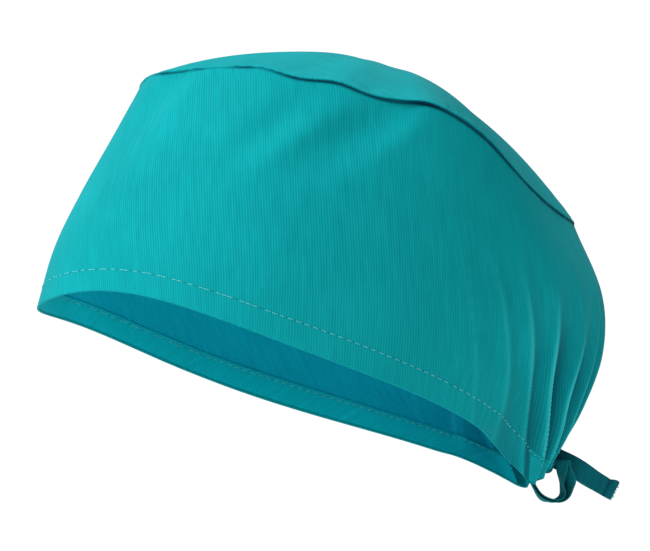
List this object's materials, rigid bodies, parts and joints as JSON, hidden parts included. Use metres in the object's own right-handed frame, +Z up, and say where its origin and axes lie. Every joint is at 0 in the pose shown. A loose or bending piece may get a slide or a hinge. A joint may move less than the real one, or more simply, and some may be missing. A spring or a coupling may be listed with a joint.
{
  "type": "surgical cap",
  "caption": "Cloth surgical cap with an oval domed crown panel, a tall side band with a stitched casing at its rim, and a tie that gathers the back.",
  "frame": {"origin": "middle of the rim's opening, where the cap sits on a head", "axes": "+Z up through the crown as the cap is worn, +Y towards the nape and the tie, +X the wearer's left, the picture's near side"},
  "size_m": [0.1686, 0.225, 0.1703],
  "materials": {
    "cap_twill": "matt twill",
    "tie_tape": "matt twill tape"
  },
  "bodies": {
    "root": {"side_band": "cap_twill", "crown_panel": "cap_twill", "tie_loop": "tie_tape", "tie_end": "tie_tape", "tie_far": "tie_tape", "tie_knot": "tie_tape"}
  },
  "joints": []
}
